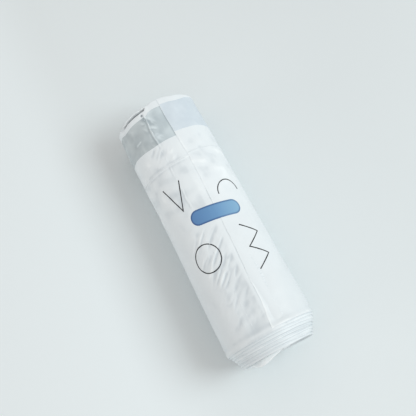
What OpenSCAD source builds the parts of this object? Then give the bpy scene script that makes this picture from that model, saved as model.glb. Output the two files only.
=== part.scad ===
// A coreless roll of drawstring bin bags, wound from folded film and lying on its side.
// X runs along the roll from the hem end to the folded end, Y across it and Z up.

/* [Roll] */
// Length from the outermost hem rim to the outermost fold
roll_l = 190.5; // [150:0.5:240]
// Diameter at the hem end
hem_d = 64.5; // [54:0.5:80]
// Diameter at the folded end, where the film is bulkier
fold_d = 71.5; // [62:0.5:90]
// Radial thickness of one wound turn
turn_t = 1.2; // [0.9:0.05:1.5]
// Diameter of the hole left by the winding shaft
hole_d = 12; // [8:0.5:18]
// Angle of the outer free edge from the top, toward +Y
free_edge_deg = 3; // [-15:1:15]
// Depth of the flat spot on which the soft roll has settled
flat_depth = 0.6; // [0.3:0.05:1.2]

/* [Folded end] */
// Number of outer turns that stand out past the turn around them
stepped_turns = 7; // [5:1:9]
// How far each of them stands out
fold_step = 2.1; // [1:0.1:2.5]
// How far each turn inside them sits back again
dish_step = 0.35; // [0.1:0.05:0.6]
// Gap between the round noses of two neighbouring turns
nose_gap = 0.1; // [0.05:0.05:0.2]
// Thickness of the loose turns that have slid askew
loose_t = 3.2; // [2:0.1:4]
// Gap around the loose turns
loose_gap = 0.5; // [0.3:0.05:0.8]
// Tilt of the loose turns
loose_tilt_deg = 5; // [2:0.5:6]
// Direction in which the loose turns lean out, from the top toward +Y
loose_lean_deg = -62; // [-90:2:-30]
// How far the middle of the loose rim stands above the turns around it
loose_reach = 0.3; // [0:0.1:1]

/* [Hem end] */
// How far neighbouring hem rims stand in or out
rim_stagger = 0.9; // [0.2:0.1:1.5]
// Depth of the innermost rim behind the outermost
rim_recess = 4; // [1:0.5:8]
// Depth of the groove between two neighbouring rims
rim_groove = 0.5; // [0.2:0.1:1]
// Width of the slit where the outer hem has lifted
slit_w = 0.6; // [0.4:0.05:0.8]
// Depth of the slit along the roll
slit_l = 5; // [2:0.5:8]
// Thickness of the film outside the slit
slit_skin = 0.45; // [0.3:0.05:0.6]
// Start of the slit, from the top toward +Y
slit_from_deg = -62; // [-80:1:-50]
// Angle that the slit covers
slit_sweep_deg = 50; // [20:1:52]

/* [Hem and drawstring tape] */
// Width of the drawstring tape
tape_w = 24; // [15:0.5:32]
// Thickness of the flattened tape
tape_t = 0.4; // [0.3:0.05:0.6]
// Distance from the hem rim to the front panel's tape
front_tape_inset = 4; // [2:0.5:10]
// Distance from the hem rim to the back panel's tape
back_tape_inset = 7; // [4:0.5:12]
// Distance from the hem rim to the weld that closes the hem
hem_weld_inset = 48; // [46:0.5:60]
// Width of the hem weld
hem_weld_w = 0.8; // [0.5:0.1:2]
// Depth to which the weld is pressed into the film
hem_weld_depth = 0.15; // [0.1:0.05:0.3]

/* [Tear line between two bags] */
// Angle of the tear line from the top, toward +Y
tear_deg = -22; // [-40:1:-18]
// Length of one perforation
slot_l = 4; // [2:0.5:6]
// Distance from one perforation to the next
slot_pitch = 8; // [7:0.5:16]
// Width of a perforation
slot_w = 0.5; // [0.3:0.1:1]
// Depth of a perforation
slot_depth = 0.2; // [0.1:0.05:0.25]

/* [Closure sticker] */
// Length of the sticker around the roll
sticker_l = 40; // [28:0.5:48]
// Width of the sticker
sticker_w = 12; // [8:0.5:18]
// Thickness of the sticker
sticker_t = 0.25; // [0.15:0.05:0.4]
// Distance from the hem rim to the sticker's middle
sticker_inset = 97.5; // [80:0.5:120]
// Angle of the sticker's middle from the top, toward +Y
sticker_deg = 5; // [-5:1:12]
// How far the sticker is out of square with the roll
sticker_skew_deg = 7; // [0:1:15]
// Run over which the sticker bridges the free edge
bridge_run = 3.5; // [2:0.5:6]

/* [Printed lines] */
// Width of a printed line
line_w = 0.8; // [0.5:0.1:1.5]
// Thickness of the ink as modelled
ink_t = 0.1; // [0.05:0.05:0.2]
// Distance around the roll from the top to the middle of each printed figure
print_side = 19; // [16:0.5:22]
// Diameter of the printed ring
ring_d = 22; // [12:0.5:26]
// Distance from the sticker's middle to the ring's, toward the folded end
ring_offset = 28; // [22:0.5:45]
// Diameter of the printed half ring
arch_d = 20; // [12:0.5:24]
// Distance from the sticker's middle to the half ring's, toward the hem
arch_offset = 11; // [9:0.5:16]
// Length of one stroke of the zigzag along the roll
zigzag_stroke = 9; // [6:0.5:14]
// Width of the zigzag around the roll
zigzag_w = 13; // [8:0.5:20]
// Distance from the sticker's middle to the zigzag's start
zigzag_offset = 16; // [12:0.5:20]
// Distance from the sticker's middle to the chevron's tip, toward the hem
chevron_offset = 12; // [9:0.5:20]
// Length of the chevron along the roll
chevron_l = 22; // [10:0.5:25]
// Width of the chevron around the roll
chevron_w = 16; // [8:0.5:22]

/* [Hidden] */
$fn = 96;

// One turn is two half circles with centres half a turn's thickness apart, so that they meet
// smoothly and a full turn climbs by exactly one turn's thickness. Arc 0 runs from the free
// edge over the +Y side, and arc 1 comes back up the -Y side to end under the free edge.
arc_step = turn_t / 2;
hem_r = (hem_d + arc_step) / 2;
fold_r = (fold_d + arc_step) / 2;
taper = (fold_r - hem_r) / roll_l;
taper_deg = atan(taper);
hole_r = hole_d / 2;
hem_turns = floor((hem_r - hole_r) / turn_t);
fold_turns = floor((fold_r - hole_r) / turn_t);
whole = 2 * fold_d;

function around(deg) = [0, sin(deg), cos(deg)];
function arc_from(i) = free_edge_deg + 180 * i;
function arc_centre(i) = arc_step / 2 * around(arc_from(i));
function arc_r(i, along) = hem_r + taper * along - arc_step * i;
function arc_at(deg) = floor(((deg - free_edge_deg + 720) % 360) / 180);
function turn_at(k, i) = k + (i + 0.5) / 2;

// Places of the rims and folds along the roll, by how many turns lie outside them
function rim_x(turns) =
    rim_recess * pow(turns / hem_turns, 2) + rim_stagger * sin(212 * (turns - 0.12));
function nose_x(turns) =
    roll_l + fold_step * min(turns, stepped_turns) - dish_step * max(0, turns - stepped_turns);
function nose_from(k, i) = nose_x(turn_at(k, i)) - turn_t / 2;

// The loose turns stand in a trench between two wound turns
loose_outer = stepped_turns + 2;
trench_turns = ceil((loose_t + 2 * loose_gap) / turn_t);
trench_floor = roll_l + fold_step * stepped_turns - 6;
loose_r = fold_r - turn_t * (loose_outer + 1) - loose_gap;
// The noses that stand out are rounder than those packed inside them
function nose_facet(k) = k > stepped_turns ? 90 : 45;
function in_trench(k) = k >= loose_outer && k < loose_outer + trench_turns;

// Cuts and joins run this far past the surfaces that they cross, and this angle past an arc's
over = 1;
over_deg = 1;
// The sticker's bridge reaches this far into the parts that lie on the film
bridge_grip = 0.1;

// Draws a profile of radius and length around one arc's centre
module wind(i, from = 0, sweep = 180) {
    translate(arc_centre(i))
        rotate([0, 90, 0])
            rotate([0, 0, 180 - arc_from(i) - from - sweep])
                rotate_extrude(angle = sweep)
                    children();
}

// Profile of the cut rims, from the hole outward
function rim_points(i) = [
    for (k = [hem_turns - 1 : -1 : 0])
        let (r = arc_r(i, 0) - k * turn_t, x = rim_x(turn_at(k, i)))
        each [
            [r - turn_t, max(x, rim_x(turn_at(k + 1, i))) + rim_groove],
            [r - turn_t / 2, x],
            if (k == 0) [r + taper * (x + rim_groove), x + rim_groove]
        ]
];

// Profile of the folded end, from the outermost fold inward: a round nose on every turn, a
// little thinner than the turn, so that the valleys between them slant
function nose_points(i) = [
    for (k = [0 : fold_turns - 1])
        let (r = arc_r(i, nose_from(0, i)) - k * turn_t, x = nose_from(k, i))
        if (in_trench(k))
            each [[r, trench_floor], [r - turn_t, trench_floor]]
        else
            for (a = [0 : nose_facet(k) : 180])
                [r - (turn_t - nose_gap) / 2 * (1 - cos(a)), x + turn_t / 2 * sin(a)]
];

module turns_profile(i) {
    hole = hole_r - arc_step * i;
    rim = rim_points(i);
    nose = nose_points(i);
    polygon(concat(
        [[hole, rim[0][1]]], rim, nose, [[hole, nose[len(nose) - 1][1]]]
    ));
}

// A layer that follows the outside between two depths under it
module shell_layer(i, from, to, outer, inner, start = 0, sweep = 180) {
    wind(i, start, sweep)
        polygon([
            [arc_r(i, from) - inner, from],
            [arc_r(i, from) - outer, from],
            [arc_r(i, to) - outer, to],
            [arc_r(i, to) - inner, to]
        ]);
}

// Where the roll lies: its lowest line is level, and the origin is under its middle
low_arc = arc_at(180);
lie_z = (arc_r(low_arc, 0) - arc_centre(low_arc)[2]) * cos(taper_deg) - flat_depth;
widest = nose_from(0, 0);
right_arc = arc_at(90);
left_arc = arc_at(270);
right_y = arc_centre(right_arc)[1] + arc_r(right_arc, widest);
left_y = arc_centre(left_arc)[1] - arc_r(left_arc, widest);
function tilted_x(along, height) = along * cos(taper_deg) - height * sin(taper_deg);
hem_x = min([
    for (k = [0 : hem_turns - 1], i = [0, 1])
        tilted_x(rim_x(turn_at(k, i)), arc_r(i, 0) - (k + 0.5) * turn_t)
]);
loose_centre = nose_x(loose_outer) + loose_reach;
loose_tip = loose_centre - turn_t / 2 + (loose_r - turn_t / 2) * sin(loose_tilt_deg)
    + turn_t / 2;
fold_x = max([
    tilted_x(loose_tip, loose_r * cos(loose_tilt_deg) * cos(loose_lean_deg)),
    for (k = [0 : fold_turns - 1], i = [0, 1])
        if (!in_trench(k))
            tilted_x(nose_x(turn_at(k, i)), -arc_r(i, nose_from(0, i)) + (k + 0.5) * turn_t)
]);

module lay_down() {
    translate([-(hem_x + fold_x) / 2, -(right_y + left_y) / 2, lie_z])
        rotate([0, -taper_deg, 0])
            children();
}

// Takes away what lies lower than the given height
module level_off(height) {
    difference() {
        lay_down()
            children();
        translate([-2 * roll_l, -whole, height - whole])
            cube([4 * roll_l, 2 * whole, whole]);
    }
}

// A band of the outer skin that follows the flat spot too. Proud of the surface, it is a cutter
// that clears the skin away; arc 0's then also starts a little before the free edge.
module skin_band(arcs, from, to, depth, proud = 0) {
    reach = flat_depth + depth + over;
    lead = proud > 0 ? over_deg : 0;
    difference() {
        level_off(-proud)
            for (i = arcs)
                let (early = i == 0 ? lead : 0)
                    shell_layer(i, from, to, -proud, reach, -early, 180 + early);
        level_off(depth)
            for (i = arcs)
                shell_layer(
                    i, from - over, to + over, depth, reach + over,
                    -2 * over_deg, 180 + 4 * over_deg
                );
    }
}

// Turns at the folded end that have slid partly out of the roll and lean to one side
module loose_turns() {
    rings = floor(loose_t / turn_t);
    depth = loose_centre - trench_floor + over;
    translate([loose_centre, 0, 0])
        rotate([90 - loose_lean_deg, 0, 0])
            rotate([0, 0, -loose_tilt_deg])
                rotate([0, 90, 0])
                    rotate_extrude()
                        polygon(concat(
                            [[loose_r - rings * turn_t, -depth], [loose_r, -depth]],
                            [
                                for (k = [0 : rings - 1], a = [0 : 30 : 180])
                                    [
                                        loose_r - k * turn_t - turn_t / 2 * (1 - cos(a)),
                                        turn_t / 2 * (sin(a) - 1)
                                    ]
                            ]
                        ));
}

// The lifted hem leaves a slit between the outermost turn and the next
module hem_slit() {
    i = arc_at(slit_from_deg);
    wind(i, slit_from_deg + 360 - arc_from(i), slit_sweep_deg)
        polygon([
            [arc_r(i, 0) - slit_skin - slit_w, -over - rim_stagger],
            [arc_r(i, 0) - slit_skin, -over - rim_stagger],
            [arc_r(i, slit_l) - slit_skin, slit_l],
            [arc_r(i, slit_l) - slit_skin - slit_w, slit_l]
        ]);
}

// Perforations along the line where the outer bag tears off the next
module tear_line() {
    i = arc_at(tear_deg);
    count = floor((roll_l - slot_l) / slot_pitch);
    margin = (roll_l - (count - 1) * slot_pitch - slot_l) / 2;
    for (n = [0 : count - 1]) {
        along = margin + n * slot_pitch;
        r = norm(arc_centre(i) + arc_r(i, along + slot_l / 2) * around(tear_deg));
        rotate([-tear_deg, 0, 0])
            translate([along, -slot_w / 2, r - slot_depth])
                cube([slot_l, slot_w, slot_depth + over]);
    }
}

module front_tape_band(proud = 0) {
    skin_band([0], front_tape_inset, front_tape_inset + tape_w, tape_t, proud);
}

module back_tape_band(proud = 0) {
    skin_band([1], back_tape_inset, back_tape_inset + tape_w, tape_t, proud);
}

module hem_weld_band(proud = 0) {
    skin_band([0, 1], hem_weld_inset, hem_weld_inset + hem_weld_w, hem_weld_depth, proud);
}

// Outline on the surface to outline seen from above, for a point given as the distance from
// the hem rim and the distance around the roll from the top
function seen_from_above(p) =
    let (
        deg = p[1] / arc_r(0, p[0]) * 180 / PI,
        i = arc_at(deg)
    )
    [p[0], arc_centre(i)[1] + arc_r(i, p[0]) * sin(deg)];
function outline(points) = [for (p = points) seen_from_above(p)];
function turned(p, deg) = [p[0] * cos(deg) - p[1] * sin(deg), p[0] * sin(deg) + p[1] * cos(deg)];

// Raised skin over the upper half of the roll, as thick as the ink or the sticker
module upper_skin(from, to, thickness) {
    for (i = [0, 1])
        shell_layer(i, from, to, -thickness, 0);
}

module film_roll() {
    color("whitesmoke")
        difference() {
            level_off(0) {
                difference() {
                    union() {
                        for (i = [0, 1])
                            wind(i)
                                turns_profile(i);
                        loose_turns();
                    }
                    hem_slit();
                    tear_line();
                }
            }
            front_tape_band(over);
            back_tape_band(over);
            hem_weld_band(over);
        }
}

module drawstring_tape_front() {
    color("lightsteelblue")
        front_tape_band();
}

module drawstring_tape_back() {
    color("slategray")
        difference() {
            back_tape_band();
            lay_down()
                tear_line();
        }
}

// Round-ended outline of the sticker, laid around the roll: up one end, along the straight
// side, around the other end and back
module sticker_outline() {
    straight = (sticker_l - sticker_w) / 2;
    steps = 8;
    middle = [sticker_inset, sticker_deg * PI / 180 * arc_r(0, sticker_inset)];
    points = [
        for (end = [1, -1])
            each concat(
                [
                    for (a = [0 : 10 : 180])
                        end * [sticker_w / 2 * cos(a), straight + sticker_w / 2 * sin(a)]
                ],
                [
                    for (n = [1 : steps - 1])
                        end * [-sticker_w / 2, straight * (1 - 2 * n / steps)]
                ]
            )
    ];
    polygon(outline([for (p = points) middle + turned(p, -sticker_skew_deg)]));
}

// The sticker lies on the outermost turn, comes down a short bridge at the free edge and goes
// on over the turn below. The bridge is a straight strip, drawn with the free edge straight up,
// whose ends reach into the two lying parts.
module sticker_layer() {
    reach = sticker_w / 2 + sticker_l / 2 * sin(sticker_skew_deg) + over;
    from = sticker_inset - reach;
    to = sticker_inset + reach;
    deg_per_mm = 180 / PI / arc_r(0, sticker_inset);
    foot = bridge_run * deg_per_mm;
    grip = bridge_grip * deg_per_mm;
    function on_arc(i, deg, lift) =
        (arc_r(i, sticker_inset) + lift) * [sin(deg), cos(deg)] + [0, arc_step / 2 * (1 - 2 * i)];
    shell_layer(0, from, to, -sticker_t, 0, 0, 90);
    shell_layer(1, from, to, -sticker_t, 0, 90 - foot, 90);
    rotate([-free_edge_deg, 0, 0])
        translate([sticker_inset, 0, 0])
            rotate([0, -taper_deg, 0])
                translate([-reach, 0, 0])
                    rotate([90, 0, 90])
                        linear_extrude(2 * reach)
                            polygon([
                                on_arc(0, grip, sticker_t / 3),
                                on_arc(0, grip, sticker_t * 0.9),
                                on_arc(1, -foot - grip, sticker_t * 0.9),
                                on_arc(1, -foot - grip, sticker_t / 3)
                            ]);
}

module closure_sticker() {
    color("steelblue")
        lay_down()
            intersection() {
                linear_extrude(whole)
                    sticker_outline();
                sticker_layer();
            }
}

// A straight printed stroke between two places on the surface, in short steps so that it bends
module stroke(start, end) {
    along = (end - start) / norm(end - start);
    side = [-along[1], along[0]] * line_w / 2;
    from = start - along * line_w / 2;
    reach = end - start + along * line_w;
    steps = 6;
    polygon(outline(concat(
        [for (n = [0 : steps]) from + reach * n / steps + side],
        [for (n = [steps : -1 : 0]) from + reach * n / steps - side]
    )));
}

// A printed circle line, or the part of one between two angles
module printed_arc(middle, d, from, to) {
    steps = 48;
    function at(r, n) = let (a = from + (to - from) * n / steps) middle + r * [cos(a), sin(a)];
    polygon(outline(concat(
        [for (n = [0 : steps]) at(d / 2, n)],
        [for (n = [steps : -1 : 0]) at(d / 2 - line_w, n)]
    )));
}

// A row of strokes that goes to and fro, starting at the given place
module zigzag(start, strokes) {
    function corner(n) = start + [zigzag_stroke * n, n % 2 == 0 ? 0 : zigzag_w];
    for (n = [0 : strokes - 1])
        stroke(corner(n), corner(n + 1));
}

// Ring and chevron on the -Y side, half ring and zigzag on the +Y side
module print_outline() {
    printed_arc([sticker_inset + ring_offset, -print_side], ring_d, 0, 180);
    printed_arc([sticker_inset + ring_offset, -print_side], ring_d, 180, 360);
    printed_arc([sticker_inset - arch_offset, print_side], arch_d, 90, 270);
    zigzag([sticker_inset + zigzag_offset, print_side - zigzag_w / 2], 4);
    tip = [sticker_inset - chevron_offset, -print_side];
    for (side = [-1, 1])
        stroke(tip, tip + [-chevron_l, chevron_w / 2 * side]);
}

module printed_lines() {
    color("black")
        lay_down()
            intersection() {
                linear_extrude(whole)
                    print_outline();
                upper_skin(hem_weld_inset, roll_l - turn_t, ink_t);
            }
}

film_roll();
drawstring_tape_front();
drawstring_tape_back();
closure_sticker();
printed_lines();
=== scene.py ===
import math

import bmesh
import bpy
import numpy as np
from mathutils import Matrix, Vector


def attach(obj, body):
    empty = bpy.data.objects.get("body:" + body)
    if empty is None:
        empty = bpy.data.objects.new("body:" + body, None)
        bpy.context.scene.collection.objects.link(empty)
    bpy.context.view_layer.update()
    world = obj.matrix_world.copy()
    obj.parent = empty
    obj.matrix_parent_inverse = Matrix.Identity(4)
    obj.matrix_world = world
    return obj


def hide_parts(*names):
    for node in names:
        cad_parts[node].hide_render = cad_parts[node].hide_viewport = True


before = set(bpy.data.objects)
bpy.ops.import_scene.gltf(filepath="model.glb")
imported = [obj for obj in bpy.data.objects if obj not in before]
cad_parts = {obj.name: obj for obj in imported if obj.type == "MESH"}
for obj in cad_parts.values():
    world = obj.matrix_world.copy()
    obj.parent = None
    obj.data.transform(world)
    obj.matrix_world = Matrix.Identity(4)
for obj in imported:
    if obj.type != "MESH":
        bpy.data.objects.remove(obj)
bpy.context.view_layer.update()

# The camera
# It looks down on the roll from the folded end's side, a little off straight overhead, through a
# moderate telephoto lens, so that the roll lies across the picture from top left to bottom right.
CAMERA_TARGET = (-0.0184, 0.0028, 0.0340)
CAMERA_AZIMUTH, CAMERA_ELEVATION = math.radians(63.2), math.radians(74.5)
CAMERA_DISTANCE = 0.541
camera = bpy.data.objects.new("camera", bpy.data.cameras.new("camera"))
bpy.context.scene.collection.objects.link(camera)
bpy.context.scene.camera = camera
bpy.context.scene.view_settings.view_transform = "Standard"
camera.data.lens = 60.6
camera.data.sensor_width = 36
camera.data.clip_start, camera.data.clip_end = 0.01, 10
towards_camera = Vector((
    math.sin(CAMERA_AZIMUTH) * math.cos(CAMERA_ELEVATION),
    -math.cos(CAMERA_AZIMUTH) * math.cos(CAMERA_ELEVATION),
    math.sin(CAMERA_ELEVATION),
))
camera.location = Vector(CAMERA_TARGET) + towards_camera * CAMERA_DISTANCE
camera.rotation_euler = towards_camera.to_track_quat("Z", "Y").to_euler()


# The wound turns
# The bags are one long strip of folded film, wound without a core on a shaft that is then drawn
# out. Cut hems stand at one end, and round folds at the other, each reaching past the last.
# Sizes are in millimetres until a mesh is laid down, and angles go from the top toward +Y.
MM = 0.001
ROLL_LENGTH = 190.5
TURN = 1.2
EDGE_RADIUS = 32.85
TAPER = 3.5 / ROLL_LENGTH
FREE_EDGE = 3.0
STEPPED_TURNS, FOLD_STEP, DISH_STEP = 7, 2.1, 0.35
TRENCH_FROM, TRENCH_TO, TRENCH_DEPTH = 9.0, 13.0, 6.0
TRENCH_FLOOR = ROLL_LENGTH + STEPPED_TURNS * FOLD_STEP - TRENCH_DEPTH
LAST_TURN = 22.3
RIM_RECESS, RIM_STAGGER, RIM_ROUNDING = 4.0, 0.9, 0.35
STAGGER_FROM, STAGGER_A_TURN, BUMPS_A_TURN = 0.12, math.radians(212), 5.3
THIN_EDGE, EDGE_RUN, EDGE_DROP = 0.2, 0.1, 1.05
ROLL_TILT = math.atan(TAPER)
HEM_MIDDLE = (-102.64, -0.30, 31.645)
SETTLING, SEAM_REACH = 0.08, 0.002
SHARP_EDGE = math.radians(50)
FILM_WHITE = (0.815, 0.878, 0.905)


def feed(tree, node, inputs):
    """Sets each input of a node to its value, or joins it to the rule or socket given for it."""
    for label, value in inputs.items():
        value = value.socket if isinstance(value, Rule) else value
        if isinstance(value, bpy.types.NodeSocket):
            tree.links.new(value, node.inputs[label])
        else:
            node.inputs[label].default_value = value


def add_node(tree, kind, inputs=None, **settings):
    """A new node of a tree, with its settings made before its inputs are fed."""
    node = tree.nodes.new(kind)
    for label, value in settings.items():
        setattr(node, label, value)
    feed(tree, node, inputs or {})
    return node


class Rule:
    """A quantity that a node tree works out, so that sums of it read as sums."""

    def __init__(self, tree, socket):
        self.tree, self.socket = tree, socket

    def using(self, operation, *others):
        terms = dict(enumerate((self, *others)))
        node = add_node(self.tree, "ShaderNodeMath", terms, operation=operation)
        return Rule(self.tree, node.outputs[0])

    def __add__(self, other):
        return self.using("ADD", other)

    def __sub__(self, other):
        return self.using("SUBTRACT", other)

    def __mul__(self, other):
        return self.using("MULTIPLY", other)

    def __truediv__(self, other):
        return self.using("DIVIDE", other)

    def part_of(self, whole):
        """The share of whole that this has reached, kept between 0 and 1."""
        share = self / whole
        share.socket.node.use_clamp = True
        return share

    def least(self, other):
        return self.using("MINIMUM", other)

    def most(self, other):
        return self.using("MAXIMUM", other)

    def over(self, other):
        return self.using("GREATER_THAN", other)

    def sine(self):
        return self.using("SINE")

    def cosine(self):
        return self.using("COSINE")


def node_tree(name, sizes):
    """A geometry tree with a named input for each size, and the inputs as rules."""
    tree = bpy.data.node_groups.new(name, "GeometryNodeTree")
    tree.interface.new_socket("Geometry", in_out="INPUT", socket_type="NodeSocketGeometry")
    kinds = {int: "NodeSocketInt", float: "NodeSocketFloat"}
    for size, value in sizes.items():
        tree.interface.new_socket(size, in_out="INPUT", socket_type=kinds[type(value)])
    tree.interface.new_socket("Geometry", in_out="OUTPUT", socket_type="NodeSocketGeometry")
    entry = tree.nodes.new("NodeGroupInput")
    return tree, entry, {size: Rule(tree, entry.outputs[size]) for size in sizes}


def finish_tree(tree, geometry, material):
    """Ends a tree with its realized geometry in one material."""
    realized = add_node(tree, "GeometryNodeRealizeInstances", {0: geometry})
    painted = add_node(tree, "GeometryNodeSetMaterial", {
        "Geometry": realized.outputs[0], "Material": material})
    add_node(tree, "NodeGroupOutput", {0: painted.outputs[0]})


def grow(name, tree, sizes, material, base=None):
    """Runs a tree with the given sizes on an object and keeps the plain mesh it makes."""
    grown = bpy.data.objects.new(name, base or bpy.data.meshes.new(name + "_base"))
    bpy.context.scene.collection.objects.link(grown)
    modifier = grown.modifiers.new("shape", "NODES")
    modifier.node_group = tree
    for socket in tree.interface.items_tree:
        if socket.in_out == "INPUT" and socket.name in sizes:
            modifier[socket.identifier] = sizes[socket.name]
    bpy.context.view_layer.update()
    evaluated = grown.evaluated_get(bpy.context.evaluated_depsgraph_get())
    mesh = bpy.data.meshes.new_from_object(evaluated)
    grown.modifiers.clear()
    grown.data = mesh
    mesh.name = name
    mesh.materials.clear()
    mesh.materials.append(material)
    return grown


def laid_down(points):
    """Points round the roll's own axis, in millimetres, to where the roll lies, in metres. The
    soft roll has settled, so what would reach below the table is pressed flat on it."""
    along, across, up = np.asarray(points, float).T
    c, s = math.cos(ROLL_TILT), math.sin(ROLL_TILT)
    x = along * c - up * s + HEM_MIDDLE[0]
    y = across + HEM_MIDDLE[1]
    z = along * s + up * c + HEM_MIDDLE[2]
    return np.stack([x, y, SETTLING * np.logaddexp(0, z / SETTLING)], 1) * MM


def ease(value, start, end):
    """0 up to start, 1 from end on, and a smooth rise between them."""
    t = np.clip((value - start) / (end - start), 0, 1)
    return t * t * (3 - 2 * t)


def span(value, start, full, fade, end):
    """1 from full to fade, 0 before start and after end, and smooth slopes between them."""
    return ease(value, start, full) * (1 - ease(value, fade, end))


def swell(value, width):
    """1 where the value is 0, falling off smoothly over the width to both sides."""
    return np.exp(-(value / width) ** 2)


def waves(a, b, seed):
    """Smooth random heights between -1 and 1, with one bump or hollow for each unit of a and b."""
    grid = 97
    heights = np.random.default_rng(seed).uniform(-1, 1, (grid, grid))
    i, j = np.floor(a).astype(int), np.floor(b).astype(int)
    f, g = ease(a - i, 0, 1), ease(b - j, 0, 1)
    near, far = (heights[i % grid, k % grid] * (1 - f) + heights[(i + 1) % grid, k % grid] * f
                 for k in (j, j + 1))
    return near * (1 - g) + far * g


def ripple(a, seed):
    """Smooth random heights that change in one direction only."""
    return waves(a, a * 0, seed)


def creases(a, b, seed):
    """Sharp random ridges of height 1 over softly hollow ground."""
    return 1 - 2.2 * np.abs(waves(a, b, seed))


def drawn_folds(a, b, seed):
    """Small folds of drawn film: each ridge along a has a hollow beside it."""
    return creases(a, b, seed) - creases(a, b - 0.3, seed)


class Paint:
    """A surface in the making, with a short way to each kind of node that it is mixed from. Each
    way gives the socket that holds its result."""

    def __init__(self, name, finish):
        self.material = bpy.data.materials.new(name)
        self.material.use_nodes = True
        self.tree = self.material.node_tree
        self.shader = self.tree.nodes["Principled BSDF"]
        feed(self.tree, self.shader, finish)
        self.place = self.node("TexCoord").outputs["Object"]

    def node(self, kind, inputs=None, **settings):
        return add_node(self.tree, "ShaderNode" + kind, inputs, **settings)

    def mark(self, name):
        """A value stored on the mesh."""
        return self.node("Attribute", attribute_name=name).outputs["Fac"]

    def noise(self, place, scale, detail, distortion=0, kind="FBM"):
        return self.node("TexNoise", {
            "Vector": place, "Scale": scale, "Detail": detail, "Distortion": distortion,
        }, noise_type=kind).outputs["Fac"]

    def ramp(self, value, stops, fade="LINEAR"):
        """The colour that the stops, in their order, give a value."""
        node = self.node("ValToRGB", {"Fac": value})
        ramp = node.color_ramp
        ramp.interpolation = fade
        first, *between, last = ((position, (*colour, 1)) for position, colour in stops.items())
        for element, (position, colour) in zip(ramp.elements, (first, last)):
            element.position, element.color = position, colour
        for position, colour in between:
            ramp.elements.new(position).color = colour
        return node.outputs["Color"]

    def carried(self, value, low, high, start=0, end=1):
        """A value between start and end carried over to between low and high."""
        return self.node("MapRange", {
            "Value": value, "From Min": start, "From Max": end, "To Min": low, "To Max": high,
        }).outputs["Result"]

    def multiplied(self, a, b, factor=1, clamp_result=False):
        return self.node("Mix", {"Factor": factor, "A": a, "B": b}, data_type="RGBA",
                         blend_type="MULTIPLY", clamp_result=clamp_result).outputs["Result"]

    def bump(self, height, strength, distance, under=None):
        """Fine relief, laid over another one if that is given."""
        inputs = {"Height": height, "Strength": strength, "Distance": distance}
        if under:
            inputs["Normal"] = under
        return self.node("Bump", inputs).outputs["Normal"]

    def finished(self, inputs):
        feed(self.tree, self.shader, inputs)
        return self.material


def film_material(name, ply, kept_under_fold_end_shade, soaking=0):
    """Satin white film: cloudy in tone, faintly creased all over, with painted light and shade read
    from the mesh. ply is how strongly painted shade draws the layers of a folded or cut end as fine
    dark lines, the argument after ply how much of its lightness the film keeps toward the folded
    end, where painted shade darkens it, and soaking how much light soaks in."""
    paint = Paint(name, {
        "Specular IOR Level": 0.42, "IOR": 1.5, "Subsurface Weight": soaking,
        "Subsurface Radius": (1, 1, 1), "Subsurface Scale": 0.002})
    tone = paint.ramp(paint.noise(paint.place, 26, 3), {
        0.3: [0.955 * c for c in FILM_WHITE], 0.72: FILM_WHITE})

    # painted shade: the film is painted a little darker toward the folded end
    lengthways = paint.node("SeparateXYZ", {0: paint.place}).outputs["X"]
    fold_end_shade = paint.carried(lengthways, 1.0, kept_under_fold_end_shade, -0.02, 0.08)
    toned = paint.node("VectorMath", {0: tone, "Scale": fold_end_shade}, operation="SCALE")
    # painted light and shade read from the mesh: near black deep in the slit, darker in crease
    # hollows and under the free edge, brighter than the film's white on crease ridges, edges and
    # lips
    shade = paint.ramp(paint.mark("tone_and_painted_light"), {
        0: (0.13, 0.14, 0.15), 0.12: (0.78, 0.80, 0.82), 0.5: (0.97, 0.975, 0.98),
        0.8: (1, 1, 1), 1: (1.10, 1.09, 1.08)})
    lit = paint.multiplied(toned.outputs["Vector"], shade, clamp_result=True)

    # painted shade: fine dark lines between the plies that follow the turns, drawn out a
    # hundredfold around the roll
    wrap = paint.node("UVMap", uv_map="wrap").outputs["UV"]
    stretched = paint.node("Mapping", {"Vector": wrap, "Scale": (14, 1900, 1)}).outputs["Vector"]
    lines = paint.noise(stretched, 1, 2)
    fine = paint.ramp(lines, {0.34: (0.7, 0.73, 0.75), 0.6: (1, 1, 1)})

    # the gloss comes and goes where the film is rubbed, and a crackle of tiny creases lies over
    # the lines of the plies
    rubbed = paint.noise(paint.place, 90, 4)
    crackle = paint.noise(paint.place, 120, 3, 0.6, "RIDGED_MULTIFRACTAL")
    return paint.finished({
        "Base Color": paint.multiplied(lit, fine, ply),
        "Roughness": paint.carried(rubbed, 0.36, 0.52),
        "Normal": paint.bump(crackle, 0.16, 0.00012, paint.bump(lines, 0.5 * ply, 0.0002))})


bag_film = film_material("bag_film", 0.0, 0.925)
folded_film = film_material("folded_film", 0.6, 0.97)
loose_film = film_material("loose_film", 0.15, 1.0, 0.6)

winding_sizes = {
    "First turn": 0.0,
    "Turns": 1.0,
    "Steps a turn": 72,
    "Inner steps": 2,
    "Nose steps": 6,
    "Outer steps": 2,
    "Rim steps": 4,
    "Turn thickness": TURN,
    "Edge radius": EDGE_RADIUS,
    "Taper": TAPER,
    "Length": ROLL_LENGTH,
    "Fold step": FOLD_STEP,
    "Dish step": DISH_STEP,
    "Stepped turns": float(STEPPED_TURNS),
    "Hem place": 0.0,
    "Rim recess": RIM_RECESS,
    "Rim stagger": RIM_STAGGER,
    "Unevenness": 0.45,
    "Thin edge": THIN_EDGE,
    "Seed": 4.0,
}
winding, _, size = node_tree("winding", winding_sizes)
profile_steps = size["Inner steps"] + size["Nose steps"] + size["Outer steps"] + size["Rim steps"]
sheet = add_node(winding, "GeometryNodeMeshGrid", {
    "Size X": 1, "Size Y": 1, "Vertices X": size["Turns"] * size["Steps a turn"] + 1,
    "Vertices Y": profile_steps + 1})
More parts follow.
